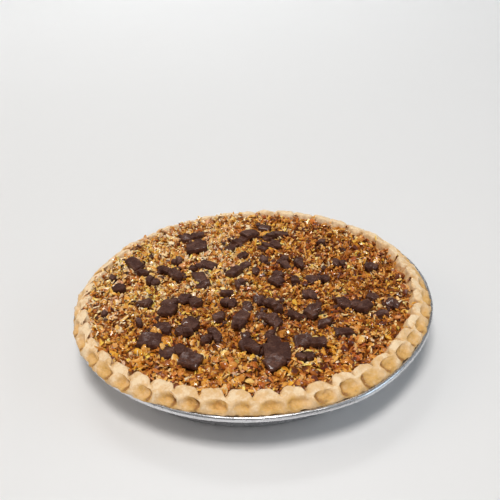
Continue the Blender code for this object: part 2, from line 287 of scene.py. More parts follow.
def makeTin():
    s = tinSet
    t = s["thick"]
    inside = [
        (4, t), (40, t), (60, t), (61.5, t + 0.5), (88, t + 0.5), (89.5, t), (s["baseR"] - 2.0, t),
        (s["baseR"] - 0.7, t + 0.5), (s["baseR"] + 0.2, t + 2.2),
        (between(s["baseR"], s["wallTopR"], 0.5), s["flangeZ"] * 0.5),
        (s["wallTopR"] - 1.0, s["flangeZ"] - 1.6), (s["wallTopR"] + 0.4, s["flangeZ"] - 0.2),
        (s["wallTopR"] + 1.4, s["flangeZ"]), (s["flangeR"] - 1.2, s["flangeZ"]),
    ]
    roll = [(s["rimR"] - inward, s["flangeZ"] - down) for inward, down in s["rimRoll"]]
    outside = [(radius + t * 0.85, height - t) for radius, height in inside[::-1]][1:]
    outside = [(radius, max(height, 0.0)) for radius, height in outside]
    profile = np.array(inside + roll + outside)
    steps = [profile[0]]
    for first, second in zip(profile, profile[1:]):
        count = max(1, int(np.hypot(*(second - first)) / s["profileStep"]))
        steps += [between(first, second, (step + 1) / count) for step in range(count)]
    profile = np.array(steps)
    turns = np.arange(s["columns"]) * fullTurn / s["columns"]
    radius = np.tile(profile[:, 0], (s["columns"], 1))
    height = np.tile(profile[:, 1], (s["columns"], 1))
    onCircle = np.stack([np.cos(turns), np.sin(turns), np.zeros_like(turns)], axis=-1)
    uneven = softNoise(onCircle * s["crimpCount"] / 6, 1.0, 4)
    dents = softNoise(onCircle * 9, 1.0, 6)
    share = smooth(2, 12, height) * (1 - smooth(s["flangeZ"] - 4, s["flangeZ"], height))
    pleat = np.cos(turns * s["crimpCount"] + uneven * 4) * (0.6 + 0.4 * uneven)
    radius += share * (pleat * s["crimpDepth"])[:, None]
    atRim = smooth(s["flangeR"] - 3, s["rimR"], radius)
    height += atRim * (dents * s["dentDepth"] * 0.5 + uneven * 0.07)[:, None]
    radius += atRim * (dents * 0.25 + uneven * 0.05 + movesAt(turns, s["rimMoves"]))[:, None]
    x = radius * np.cos(turns)[:, None]
    y = radius * np.sin(turns)[:, None]
    mesh = meshFrom("tin_pressed_foil", *loft(np.stack([x, y, height], axis=-1)))
    return addPiece("tin_pressed_foil", mesh, tinFinish(), ["foil_tin"], 40)


crustSet = {
    "flutes": 45,
    "columnsInFlute": 30,
    "stepsInRow": 5,
    "firstNotch": -95.45,
    "drift": 4.1,
    "driftFrom": 188,
    # how far the hollows lie beside their lobes, in flutes: everywhere, and what is added to the left
    "lean": (0.17, 0.58),
    "mostToLeft": 0.8,
    "edgeShift": 0.5,
    "heightVaries": (-0.6, 0.6),
    "depthVaries": (-0.5, 0.8),
    "inwardVaries": (-0.5, 0.5),
    "notchSharpness": 4,
    # where the crust isn't round, each place by its angle, spread and move out: behind, where the whole
    # edge is drawn in, along the inner side, and along the outer edge
    "backMoves": ((114, 33, -5.6), (153, 13, -1.8), (48, 11, -2.6), (178, 12, -1.6), (72, 12, -0.8)),
    "innerMoves": ((-98, 22, -1.6), (-42, 30, 3.2), (10, 30, 2.0), (-152, 30, 3.2), (172, 24, 1.0)),
    "edgeMoves": ((-60, 15, 1.9), (-20, 22, 0.9), (-112, 20, -1.5), (-136, 8, 1.0), (-159, 12, -0.6)),
    # a row's radius and height in a flute's middle, and between two flutes
    "rows": (
        ("wall", (106.7, 26.0), (106.7, 26.0)),
        ("wallTop", (106.8, 30.8), (107.4, 29.8)),
        ("innerShoulder", (107.5, 36.0), (111.0, 33.4)),
        ("crest", (109.5, 38.3), (113.0, 36.7)),
        ("brow", (112.6, 38.1), (115.7, 36.7)),
        ("hollowTop", (115.3, 36.0), (118.0, 36.1)),
        ("hollowFloor", (117.3, 32.7), (120.0, 34.8)),
        ("skirt", (120.6, 31.7), (121.3, 32.5)),
        ("edge", (121.8, 30.0), (121.9, 30.1)),
        ("under", (120.6, 29.2), (120.6, 29.2)),
    ),
    # radius and height of the rows down inside the tin, where nothing shows
    "rowsInside": ((60, 5.3), (93, 5.3), (99, 14.0)),
    "rowsBelow": ((112.2, 29.4), (110.0, 28.0), (97.2, 1.3), (60, 1.2)),
    "fillingLineR": 107.5,   # the inner face where the filling meets it, and how deep its scallops are there
    "fillingLineDepth": 3.0,
    # the thumb's hollow: its middle and half length in rows, its half width in flutes
    "hollowMiddle": (5.9, 6.3),
    "hollowHalfLength": (1.9, 2.3),
    "hollowHalfWidth": (0.41, 0.50),
    "hollowAside": (-0.04, 0.06),
    "hollowPower": 2.1,
    # where its slope starts and ends, as shares of its half size
    "steepSide": (0.70, 1.02),
    "softSide": (0.02, 1.24),
    "creaseDepth": 0.5,
    "foldDepth": 0.7,        # of the fold between two lobes
    "lobeShift": 0.8,        # how unevenly the lobes reach in over the filling
    "scallops": 1.9,         # how much deeper the lobes stand apart behind
    "swell": 1.0,            # soft unevenness of the baked dough
    "knobs": 0.5,            # small bulges on it
    "roughness": 0.24,       # its finer skin
    "layers": 0.16,          # flaky layers at the outer edge
    # how brown it is baked, and how much painted shade darkens it: the dough, what is added in places (the
    # crease, the hollow's steep edge and the fold between lobes add painted shade), and how much that varies
    "browningAndShadeAmounts": {"dough": 0.12, "hollow": 0.42, "crease": 0.20, "steepEdgeShade": 0.80, "fold": 0.22,
                "skirt": 0.12, "innerSide": 0.18, "patches": 0.16, "spots": 0.14, "hidden": 0.3},
    "paleAndLitBehind": (125, 125, 0.17),     # where it is paler behind, partly its own paler colour and partly painted light: angle, half width, by how much
    "floury": (0.92, 0.76, 0.55),
    "palest": (0.90, 0.68, 0.43),
    "pale": (0.80, 0.53, 0.28),
    "golden": (0.72, 0.41, 0.120),
    "brown": (0.34, 0.15, 0.036),
}


def fluteAngle(place):
    s = crustSet
    even = math.radians(s["firstNotch"]) + (place + 0.5) * fullTurn / s["flutes"]
    return even + math.radians(s["drift"]) * np.sin(even + math.radians(s["driftFrom"]))


def fluteDraws():
    # each flute's own height, hollow depth and inward move, as the CAD draws them
    s = crustSet
    draws = random.Random(11)
    return np.array([
        [draws.uniform(*s[key]) for key in ("heightVaries", "depthVaries", "inwardVaries")]
        for _ in range(s["flutes"])
    ])


def drawAt(draws, places):
    # a flute's draw in its middle, easing into the next one's between them
    count = len(draws)
    middle = np.round(places).astype(int)
    offset = places - middle
    near = draws[middle % count]
    beside = draws[(middle + np.where(offset > 0, 1, -1)) % count]
    share = smooth(0.2, 0.8, np.abs(offset))
    return near + (beside - near) * share[:, None]


def crustFinish():
    s = crustSet
    finish = Finish("pastry", IOR=1.45, Specular_IOR_Level=0.35)
    browning = finish.painted("browning")
    cloud = finish.grain(6.5, 4, 0.6)
    mottle = finish.grain(2.3, 3, 0.6, seed=11.0)
    fine = finish.grain(0.9, 4, 0.65, seed=5.0)
    specks = finish.span(finish.grain(1.7, 2, 0.5, seed=9.0), 0.62, 0.72)
    # the painted attribute holds baked browning together with painted shade, and painted light behind
    bakedAndShaded = browning + (cloud - 0.5) * 0.85 + (mottle - 0.5) * 0.60 + (fine - 0.5) * 0.35
    tones = ((0.0, s["palest"]), (0.16, s["pale"]), (0.52, s["golden"]), (1.0, s["brown"]))
    colour = finish.mix(specks * 0.4, finish.ramp(bakedAndShaded, *tones), s["golden"])
    colour = finish.mix(finish.span(fine, 0.50, 0.70) * 0.30, colour, s["floury"])
    finish.wear(
        Base_Color=colour,
        Roughness=0.62 + fine * 0.2,
        Normal=finish.bump(fine, 0.30, finish.bump(finish.grain(3.2, 4, 0.6, seed=2.0), 1.0)),
    )
    return finish


def makeCrust():
    s = crustSet
    steps = s["stepsInRow"]
    count = s["flutes"] * s["columnsInFlute"]
    places = np.arange(count) / s["columnsInFlute"] - 0.5
    middle = np.round(places).astype(int)
    offset = places - middle
    varies = drawAt(fluteDraws(), places)
    turns = fluteAngle(places)
    toLeft = np.clip(-np.cos(turns), 0, s["mostToLeft"])
    lean = (s["lean"][0] + s["lean"][1] * toLeft) * fullTurn / s["flutes"]
    notch = (2 * np.abs(offset)) ** s["notchSharpness"]
    edgeMove = movesAt(turns, s["edgeMoves"])
    backMove = movesAt(turns, s["backMoves"])
    innerMove = movesAt(turns, s["innerMoves"])
    onCircle = np.stack([np.cos(turns), np.sin(turns), np.zeros(count)], axis=-1)
    lobeMove = softNoise(onCircle * 110, 14.0, 21, 2) * s["lobeShift"]
    inLobe = 1 - notch
    sides = []
    for side in (1, 2):
        keys = []
        for order, row in enumerate(s["rows"]):
            radius = np.full(count, row[side][0])
            height = np.full(count, row[side][1])
            if row[0] in ("innerShoulder", "crest"):
                radius += varies[:, 2] * inLobe
            if row[0] in ("innerShoulder", "crest", "brow", "hollowTop"):
                height += varies[:, 0]
            if row[0] == "hollowFloor" and side == 1:
                height += varies[:, 1] * inLobe
            radius += edgeMove * smooth(4.5, 7, order) + backMove * smooth(1.5, 6, order)
            radius += lobeMove * (1 - smooth(3.5, 6, order)) * smooth(0.5, 2, order)
            radius += innerMove * (1 - smooth(1.8, 5, order)) * smooth(0.5, 2, order)
            keys.append(np.stack([radius, height], axis=-1))
        sides.append(splineRows(np.stack(keys, axis=1), steps))
    rowAt = np.arange(sides[0].shape[1]) / steps        # counted in key rows

    # the thumb's hollow is steep on the side towards the front and soft on the other
    draws = random.Random(37)
    ranges = ("hollowMiddle", "hollowHalfLength", "hollowHalfWidth", "hollowAside")
    press = np.array([[draws.uniform(*s[key]) for key in ranges] for _ in range(s["flutes"])])
    press = press[middle % s["flutes"]]
    across = (offset - press[:, 3]) / press[:, 2]
    along = (rowAt[None, :] - press[:, 0, None]) / press[:, 1, None]
    power = s["hollowPower"]
    depth = (np.abs(across)[:, None] ** power + np.abs(along) ** power) ** (1 / power)
    frontwards = np.clip(np.cos(turns) * 3, -1, 1)
    steep = smooth(0.0, 0.8, -across * frontwards)[:, None]
    low = between(s["softSide"][0], s["steepSide"][0], steep)
    high = between(s["softSide"][1], s["steepSide"][1], steep)
    dimple = smooth(0, 1, (depth - low) / (high - low))
    share = between(notch[:, None], dimple, smooth(3.0, 4.0, rowAt)[None, :])
    radius = between(sides[0][..., 0], sides[1][..., 0], share)
    height = between(sides[0][..., 1], sides[1][..., 1], share)
    scallops = s["scallops"] * smooth(-0.2, 0.5, np.sin(turns)) * (0.35 - notch)
    height += scallops[:, None] * (smooth(1.2, 2.6, rowAt) * (1 - smooth(6.2, 8, rowAt)))[None, :]
    leanShare = smooth(2.0, 5.5, rowAt)[None, :]
    turn = turns[:, None] + lean[:, None] * leanShare
    x = radius * np.cos(turn) - s["edgeShift"] * leanShare
    rim = np.stack([x, radius * np.sin(turn), height], axis=-1)

    normals = gridNormals(rim)
    if normals[:, 3 * steps, 2].mean() < 0:
        normals = -normals
    flat = rim.reshape(-1, 3)
    shape = rim.shape[:2]
    swell = softNoise(flat, 7.0, 1, 2).reshape(shape) * s["swell"]
    fine = softNoise(flat, 1.7, 2, 2).reshape(shape) * s["roughness"]
    fine += softNoise(flat, 3.4, 15).reshape(shape) * s["knobs"]
    wave = softNoise(flat, 9.0, 3).reshape(shape)
    atLayers = smooth(6.3, 7.2, rowAt) * (1 - smooth(8.2, 8.8, rowAt))
    layers = np.sin(flat[:, 2].reshape(shape) * fullTurn / 1.1 + wave * 3) * s["layers"] * atLayers
    inHollow = (1 - share) * smooth(3.8, 4.6, rowAt)[None, :]
    # a curved crease where the thumb's tip pressed
    creaseAt = 0.52 + 0.12 * wave
    crease = np.exp(-((depth - creaseAt) / 0.07) ** 2) * inHollow * smooth(-0.15, 0.35, wave + along * 0.3)
    atFold = smooth(1.0, 1.8, rowAt) * (1 - smooth(3.2, 4.6, rowAt))
    fold = np.exp(-((0.5 - np.abs(offset)) / 0.07) ** 2)[:, None] * atFold[None, :]
    shown = smooth(0.9, 1.6, rowAt)
    pressed = crease * s["creaseDepth"] + fold * s["foldDepth"]
    rim = rim + normals * ((swell + fine + layers - pressed) * shown)[..., None]

    # painted shade: a dark band along each hollow's steep side, the side towards the front
    paintedShadeAtSteepEdge = np.exp(-((depth - 0.76) / 0.20) ** 2) * steep * smooth(4.4, 5.2, rowAt)[None, :]
    bakedAndShaded = s["browningAndShadeAmounts"]
    # painted shade darkens the crease where the thumb's tip pressed and the fold between two lobes
    browning = bakedAndShaded["dough"] + bakedAndShaded["hollow"] * inHollow + bakedAndShaded["crease"] * crease
    browning += bakedAndShaded["steepEdgeShade"] * paintedShadeAtSteepEdge + bakedAndShaded["fold"] * fold
    browning += bakedAndShaded["skirt"] * smooth(6.6, 7.8, rowAt)[None, :]
    browning += bakedAndShaded["innerSide"] * (1 - smooth(1.6, 2.4, rowAt))[None, :]
    browning += bakedAndShaded["patches"] * softNoise(flat, 14.0, 7, 2).reshape(shape)
    browning += bakedAndShaded["spots"] * softNoise(flat, 4.5, 17).reshape(shape)
    # paler behind: partly the crust's own paler colour, partly painted light
    away = (np.degrees(turns) - s["paleAndLitBehind"][0] + 180) % 360 - 180
    browning -= s["paleAndLitBehind"][2] * (1 - smooth(0.4, 1, np.abs(away) / s["paleAndLitBehind"][1]))[:, None]

    inside = [levelRing(turns, *row) for row in s["rowsInside"]]
    below = [levelRing(turns, *row) for row in s["rowsBelow"]]
    mesh = meshFrom("crust_fluted", *loft(np.concatenate([*inside, rim, *below], axis=1)))
    hidden = bakedAndShaded["hidden"]
    painted = np.pad(browning, ((0, 0), (len(inside), len(below))), constant_values=hidden)
    paint(mesh, "browning", np.append(painted.ravel(), [hidden, hidden]))
    return addPiece("crust_fluted", mesh, crustFinish(), ["crust"])


fillingSet = {
    "edgeR": 106.5,
    "edgeZ": 33.1,
    "dome": 3.0,
    "rise": 1.6,
    "riseTowards": 118,
    "rings": 84,
    "columns": 540,
    "underCrust": 1.2,       # how far it reaches under the crust's crest
    "rowsBelow": ((105.9, 29.0), (93.3, 6.0), (50, 5.8)),
    "lumps": 0.55,
    "lumpSize": 3.2,
    "dark": (0.14, 0.034, 0.004),
    "amber": (0.42, 0.14, 0.020),
}


def fillingTop(x, y):
    s = fillingSet
    towards = math.radians(s["riseTowards"])
    across = np.hypot(x, y) / s["edgeR"]
    along = (x * math.cos(towards) + y * math.sin(towards)) / s["edgeR"]
    return s["edgeZ"] + s["dome"] * (1 - across ** 2) + s["rise"] * along


def fillingReach(x, y):
    # how far out the filling goes in the direction of a place
    return fillingSet["edgeR"] + movesAt(np.arctan2(y, x), crustSet["innerMoves"])


def syrupFinish():
    s = fillingSet
    finish = Finish("set_syrup", Coat_Roughness=0.06, IOR=1.47, Specular_IOR_Level=0.2)
    cloud = finish.grain(4.0, 4, 0.6)
    fine = finish.grain(0.8, 3, 0.6, seed=4.0)
    finish.wear(
        Base_Color=finish.ramp(cloud, (0.35, s["dark"]), (0.72, s["amber"])),
        Roughness=0.34 + fine * 0.2,
        Coat_Weight=0.4,
        Normal=finish.bump(fine, 0.3),
    )
    return finish


def innerWall(turns):
    # the crust's inner face at the height of the filling, scalloped as the crest is
    s = crustSet
    table = np.linspace(0, s["flutes"], s["flutes"] * 40)
    angles = fluteAngle(table)
    places = np.interp((turns - angles[0]) % fullTurn, angles - angles[0], table)
    offset = np.abs(places - np.round(places))
    scallop = s["fillingLineDepth"] * (2 * offset) ** s["notchSharpness"]
    return s["fillingLineR"] + scallop + movesAt(turns, s["innerMoves"])


def makeSyrup():
    s = fillingSet
    turns = np.arange(s["columns"]) * fullTurn / s["columns"]
    reach = innerWall(turns) + s["underCrust"]
    shares = np.linspace(0.02, 1, s["rings"])
    radius = reach[:, None] * shares[None, :]
    x = radius * np.cos(turns)[:, None]
    y = radius * np.sin(turns)[:, None]
    flat = np.stack([x.ravel(), y.ravel(), np.zeros(x.size)], axis=-1)
    lumps = softNoise(flat, s["lumpSize"], 12, 2).reshape(x.shape)
    z = fillingTop(x, y) + lumps * s["lumps"] - 0.2
    top = np.stack([x, y, z], axis=-1)
    below = [levelRing(turns, *row) for row in s["rowsBelow"]]
    mesh = meshFrom("topping_syrup", *loft(np.concatenate([top, *below], axis=1)))
    return addPiece("topping_syrup", mesh, syrupFinish(), ["pecan_filling"])


chocolateSet = {
    "sides": 44,
    "heights": (3.3, 4.6),
    "lift": 0.3,             # above the bare filling
    "stepInCluster": 0.7,    # each lump of a cluster sits this much higher than the one before
    "growth": 1.13,          # lumps of one cluster are drawn a little larger, so that they meet
    "tilt": 13,
    "barFrom": 12.9,         # a lump this long is a piece of a broken bar, a shorter one a chip
    # how many sides, how crisp the corners between them, and how uneven their places
    "barSides": 4,
    "chipSides": (4, 5, 5, 6),
    "barCrispness": 26,
    "chipCrispness": (9, 16, 26),
    "barUneven": 0.10,
    "chipUneven": 0.26,
    "facets": (2, 3, 3, 4),  # flat breaks on a lump's top
    "facetFrom": (0.0, 0.7),        # how far from a chip's middle one starts
    "barFacetFrom": (0.55, 0.83),   # and from a bar's
    "facetFall": (0.25, 0.75),      # how steep it is
    "mostFall": 0.42,
    "wavy": 0.20,            # the lump's own unevenness, and its top's
    "wavyTop": 0.13,
    "splitFrom": 8.9,        # chips this long are often two halves
    "splitShare": 0.6,
    # how far apart the halves lie, as shares of the length and the width, and their own size and turn
    "splitApart": (0.15, 0.2),
    "splitAside": (-0.1, 0.1),
    "splitLength": (0.62, 0.7),
    "splitWidth": (0.85, 1.0),
    "splitTurn": (-30, 30),
    "meltTries": 4,
    "meltSlack": 0.3,        # how far a melted cluster's box may differ from its lumps'
    "meltNudge": 0.07,
    "crumbs": 260,           # loose small bits about the lumps
    "crumbLength": (2.2, 5.0),
    "crumbReach": 5.0,
    "crumbPlaces": ((-71, 50), (-96, 39), (-93, 62), (-81, 67), (54, 20), (-88, 30), (70, 44)),
    "crumbsAtPlace": 4,
    "crumbShapes": 14,
    "crumbEdge": 107,        # none lies further out
    "crumbSits": (2.2, 3.4),
    "dark": (0.056, 0.019, 0.012),
    "bloom": (0.18, 0.073, 0.044),
    # spread and share of the height, from the top's middle to the underside's
    "profile": ((0.0, 1.0), (0.12, 1.0), (0.24, 1.0), (0.36, 1.0), (0.48, 1.0), (0.60, 1.0), (0.71, 1.0),
                (0.81, 1.0), (0.88, 0.985), (0.935, 0.94), (0.972, 0.85), (0.992, 0.70), (1.0, 0.50),
                (0.995, 0.26), (0.96, 0.08), (0.88, 0.01), (0.6, 0.0), (0.0, 0.0)),
    # a cluster's lumps: place in x and y, length, width and turn
    "clusters": (
        ((-45.5, 74, 9, 8, 0), (-37.5, 76, 10, 8, 20)),
        ((-37, 64, 9, 8, 60), (-37, 56, 16, 10, 0)),
        ((-83, 41.5, 17, 10, -58),),
        ((-75, 27, 10, 8, 0),),
        ((-68.5, 14.5, 11, 8, -20),),
        ((-97, 25, 8, 6, -60),),
        ((-91, 10.5, 12, 9, -10),),
        ((-52, 39.5, 9.5, 8.5, 0),),
        ((-62, 32, 8, 7, -50), (-56.5, 26, 10, 7, -50), (-51, 18, 11, 7, -55)),
        ((-28.5, 31, 12, 8, -20), (-37, 28.5, 10, 7, 10)),
        ((-34, 14.5, 13, 9, -70), (-31.5, 5, 10, 7.5, 20)),
        ((-11, 56, 11, 7, 45), (-4.5, 63.5, 12, 7, 45), (3, 70, 12, 8, 35)),
        ((-3, 41.5, 9, 8, 0),),
        ((-3.5, 26.5, 12, 7, 55), (-10, 17.5, 12, 7, 50)),
        ((-6.5, 4, 9.5, 9, 60),),
        ((5.2, 19, 8, 7, 60),),
        ((14, 83.5, 11, 8, -10),),
        ((25.5, 71.5, 14, 8, 5), (17, 67, 10, 8.5, 30)),
        ((13.5, 52.5, 11, 9, 20), (21.5, 54.5, 9, 8, 10)),
        ((11.5, 34, 9, 6.5, 80),),
        ((24.5, 32, 10, 8, 70), (26.5, 24, 9, 7, -60)),
        ((36.5, 31.5, 9, 6.5, 80), (36.5, 25.5, 9, 7, 85)),
        ((55, 56.5, 8.5, 8, 0),),
        ((65.5, 26, 9.5, 8.5, -40),),
        ((87, 20, 11, 9, 10),),
        ((20.5, 12, 9, 7, -70), (19, 4.5, 10, 9, -60)),
        ((32.5, 5.5, 9, 6.5, 75),),
        ((43.5, 6.5, 10, 8, 30), (51, 4.5, 11, 7, 0)),
        ((-71.5, -11.5, 11, 7.5, -20),),
        ((-54.5, -14.5, 11, 8.5, -5), (-55, -22.5, 12, 10.5, -20)),
        ((-44, -10, 10, 9, 60), (-37.5, -15, 11, 9, -60)),
        ((-16, -5.5, 10.5, 8.5, 0),),
        ((-14.5, -18.5, 11.5, 9.5, -10),),
        ((-98, -20, 6.5, 5, 60),),
        ((-73.5, -33, 7.5, 5.5, -60),),
        ((-58.5, -38, 9.5, 9, 10), (-54.5, -43.5, 10, 6.5, 70)),
        ((-41, -36.5, 9, 7, 30), (-38, -42, 10, 8, -50), (-43, -48, 10, 8, 10)),
        ((-28.5, -55, 10, 7.5, 50), (-23, -53, 12, 6.5, -65)),
        ((-20.5, -33.5, 10.5, 8, 60),),
        ((-2, -26, 11, 7.5, 75), (-6, -36, 12, 8.5, 60), (-8.5, -44.5, 10, 7, 10)),
        ((-4.0, -55.2, 9.5, 5.8, 80), (-2.6, -66.2, 12.8, 10.5, -75), (1.5, -72, 7, 6, -30)),
        ((-65, -52.5, 16, 12.5, -10),),
        ((-53, -66.5, 11, 10, -20), (-43.5, -68, 12, 11, -10), (-38.5, -77.5, 13, 10, -20)),
        ((6, -17.5, 9, 7, -40), (12.5, -22, 9, 6, -30), (17.5, -28, 9.5, 7, -70)),
        ((8, -35, 11, 7, -30), (14, -42, 10.5, 8, -40)),
        ((27.5, -35.5, 12, 7.5, -40),),
        ((40, -13, 10.5, 9, -20),),
        ((43.5, -27, 9, 6, 70), (39.5, -34.5, 11, 10, 40)),
        ((46.5, -45.5, 11, 6, 15),),
        ((58, -55.5, 13, 7.5, 10),),
        ((31.5, -62.5, 12, 9, 10), (40, -64.5, 12, 9, -20)),
        ((32, -77.5, 12.8, 10.5, 10),),
        ((10.5, -57.5, 10, 6.5, 80), (13.5, -64.5, 11, 8, -50),
         (15, -74, 17, 13, 5), (12.5, -83, 12, 10, 30)),
        ((61.5, -25, 12, 8, -30), (68.5, -27.5, 8, 6, -10), (74.5, -30.5, 11, 9, 30)),
        ((82, -18, 10, 8, -30),),
        ((94, -26, 9.5, 9, 0),),
        ((84.5, -37, 10, 6, -10),),
    ),
}


def chocolateFinish():
    s = chocolateSet
    finish = Finish("dark_chocolate", IOR=1.45, Coat_Roughness=0.12, Specular_IOR_Level=0.25)
    cloud = finish.grain(6.0, 4, 0.6)
    fine = finish.grain(0.9, 4, 0.6, seed=6.0)
    streaks = finish.grain(2.4, 4, 0.7, (1, 3.2, 1), 2.0)
    bloom = finish.span(cloud * 0.5 + streaks * 0.5, 0.42, 0.64)
    finish.wear(
        Base_Color=finish.mix(bloom * 0.75, s["dark"], s["bloom"]),
        Roughness=0.30 + fine * 0.24,
        Coat_Weight=finish.span(cloud, 0.42, 0.62, 0.0, 0.55),
        Normal=finish.bump(fine, 0.14, finish.bump(streaks, 0.75)),
    )
    return finish


def lump(x, y, length, width, turn, lift, draws, number):
    s = chocolateSet
    isBar = length >= s["barFrom"]
    sides = s["barSides"] if isBar else draws.choice(s["chipSides"])
    crispness = s["barCrispness"] if isBar else draws.choice(s["chipCrispness"])
    uneven = s["barUneven"] if isBar else s["chipUneven"]
    height = draws.uniform(*s["heights"])
    heading = math.radians(turn)
    tilts = [math.tan(math.radians(draws.uniform(-s["tilt"], s["tilt"]))) for _ in range(2)]
    facets = []
    for _ in range(draws.choice(s["facets"])):
        facing = draws.uniform(0, fullTurn)
        start = draws.uniform(*(s["barFacetFrom"] if isBar else s["facetFrom"]))
        facets.append((math.cos(facing), math.sin(facing), start, draws.uniform(*s["facetFall"])))
    around = np.arange(s["sides"]) * fullTurn / s["sides"]
    side = np.zeros(s["sides"])
    for order in range(sides):
        facing = (order + draws.uniform(-uneven, uneven)) * fullTurn / sides
        reach = draws.uniform(0.92 - uneven, 1.0)
        side += np.maximum(0, np.cos(around - facing) / reach) ** crispness
    side = np.minimum(side ** (-1 / crispness), 1.3)
    form = bmesh.new()
    rings = []
    for spread, share in s["profile"]:
        ringTurns = around if spread else around[:1]
        ringSide = side if spread else side[:1]
        acrossX = spread * ringSide * np.cos(ringTurns)
        acrossY = spread * ringSide * np.sin(ringTurns)
        fall = np.zeros(len(ringTurns))
        for faceX, faceY, start, steepness in facets:
            fall = np.maximum(fall, (acrossX * faceX + acrossY * faceY - start) * steepness)
        fall = np.minimum(fall, s["mostFall"])
        along, aside = acrossX * length / 2, acrossY * width / 2
        spotX = x + along * math.cos(heading) - aside * math.sin(heading)
        spotY = y + along * math.sin(heading) + aside * math.cos(heading)
        base = fillingTop(spotX, spotY) + s["lift"] + lift
        slope = (along * tilts[0] + aside * tilts[1]) * min(1, share * 2)
        spots = np.stack([spotX, spotY, base + height * share * (1 - fall) + slope], axis=-1)
        if share > 0.02:
            waves = [softNoise(spots, 3.2, number + axis) for axis in (0.1, 0.2, 0.3)]
            spots += s["wavy"] * np.stack(waves, axis=-1)
            spots[:, 2] += s["wavyTop"] * softNoise(spots, 1.4, number + 0.4, 2)
        rings.append([form.verts.new(spot * mm) for spot in spots])
    for first, second in zip(rings, rings[1:]):
        count = max(len(first), len(second))
        for step in range(count):
            corners = []
            for ring, place in ((first, step), (first, step + 1), (second, step + 1), (second, step)):
                corner = ring[place % len(ring)]
                if corner not in corners:
                    corners.append(corner)
            form.faces.new(corners)
    bmesh.ops.recalc_face_normals(form, faces=form.faces)
    mesh = bpy.data.meshes.new("lump")
    form.to_mesh(mesh)
    form.free()
    return mesh


def splitLumps(cluster, draws):
    # most of the longer chips are two broken halves, one leaning on the other
    s = chocolateSet
    for x, y, length, width, turn in cluster:
        if not s["splitFrom"] <= length < s["barFrom"] or draws.random() > s["splitShare"]:
            yield x, y, length, width, turn
            continue
        heading = math.radians(turn)
        for way in draws.choice(((-1, 1), (1, -1))):
            apart = way * length * draws.uniform(*s["splitApart"])
            aside = width * draws.uniform(*s["splitAside"])
            halfX = x + apart * math.cos(heading) - aside * math.sin(heading)
            halfY = y + apart * math.sin(heading) + aside * math.cos(heading)
            halfLength = length * draws.uniform(*s["splitLength"])
            halfWidth = width * draws.uniform(*s["splitWidth"])
            yield halfX, halfY, halfLength, halfWidth, turn + draws.uniform(*s["splitTurn"])


def boxOf(meshes):
    # the box round the meshes, as two corners
    spots = np.array([spot.co[:] for mesh in meshes for spot in mesh.vertices] or [(0, 0, 0)])
    return np.array([spots.min(axis=0), spots.max(axis=0)])


def melted(parts):
    # the parts as one solid; where both solvers lose one, the rest move up a hair for another try
    s = chocolateSet
    whole = parts[0]
    for part in parts[1:]:
        join = whole.modifiers.new("melted", "BOOLEAN")
        join.operation = "UNION"
        join.object = part
    box = boxOf([part.data for part in parts])
    for _ in range(s["meltTries"]):
        for solver in ("EXACT", "MANIFOLD"):
            for join in whole.modifiers:
                join.solver = solver
            graph = bpy.context.evaluated_depsgraph_get()
            mesh = bpy.data.meshes.new_from_object(whole.evaluated_get(graph))
            if np.abs(boxOf([mesh]) - box).max() < s["meltSlack"] * mm:
                return mesh
        for part in parts[1:]:
            part.location.z += s["meltNudge"] * mm
    print("a cluster lost a lump:", (box / mm).round(1).tolist())
    return mesh


def makeChocolate():
    s = chocolateSet
    draws = random.Random(5)
    finish = chocolateFinish()
    for number, cluster in enumerate(s["clusters"], 1):
        growth = s["growth"] if len(cluster) > 1 else 1.0
        parts = []
        for order, (x, y, length, width, turn) in enumerate(splitLumps(cluster, draws)):
            lift = order * s["stepInCluster"]
            mesh = lump(x, y, length * growth, width * growth, turn, lift, draws, number + order * 0.37)
            part = bpy.data.objects.new(f"lump_{order}", mesh)
            bpy.context.scene.collection.objects.link(part)
            parts.append(part)
        mesh = melted(parts)
        for part in parts:
            bpy.data.objects.remove(part, do_unlink=True)
        node = f"chocolate_{number:02d}"
        addPiece(f"chocolate_lump_{number:02d}", mesh, finish, [node], 55)
    makeChocolateCrumbs(finish)


def makeChocolateCrumbs(finish):
    # small broken bits that lie loose about the lumps
    s = chocolateSet
    draws = random.Random(71)
    kind = dict(corners=12, rounding=0)
    shapes = [shard(kind, draws) for _ in range(s["crumbShapes"])]
    lumps = [spot[:3] for cluster in s["clusters"] for spot in cluster]
    points, faces, count = [], [], 0
    groups = draws.choices(lumps, k=s["crumbs"])
    groups += [(x, y, 1.0) for x, y in s["crumbPlaces"] for _ in range(s["crumbsAtPlace"])]
    for x, y, length in groups:
        away = draws.uniform(0.75, 1) * length / 2 + draws.uniform(0, s["crumbReach"]) * min(1, length / 5)
        heading = draws.uniform(0, fullTurn)
        x, y = x + away * math.cos(heading), y + away * math.sin(heading)
        if math.hypot(x, y) > s["crumbEdge"]:
            continue
        long = draws.uniform(*s["crumbLength"])
        form, sides = draws.choice(shapes)
        turned = Euler((draws.gauss(0, 0.3), draws.gauss(0, 0.3), draws.uniform(0, fullTurn)), "ZYX")
        local = form * np.array([long, long * draws.uniform(0.5, 0.9), long * draws.uniform(0.3, 0.5)]) / 2
        height = fillingTop(x, y) + draws.uniform(*s["crumbSits"])
        points.append(local @ np.array(turned.to_matrix()).T + np.array([x, y, height]))
        faces.append(sides + count)
        count += len(form)
    mesh = meshFrom("chocolate_crumbs", np.concatenate(points), np.concatenate(faces).tolist())
    addPiece("chocolate_crumbs", mesh, finish, (), 30)


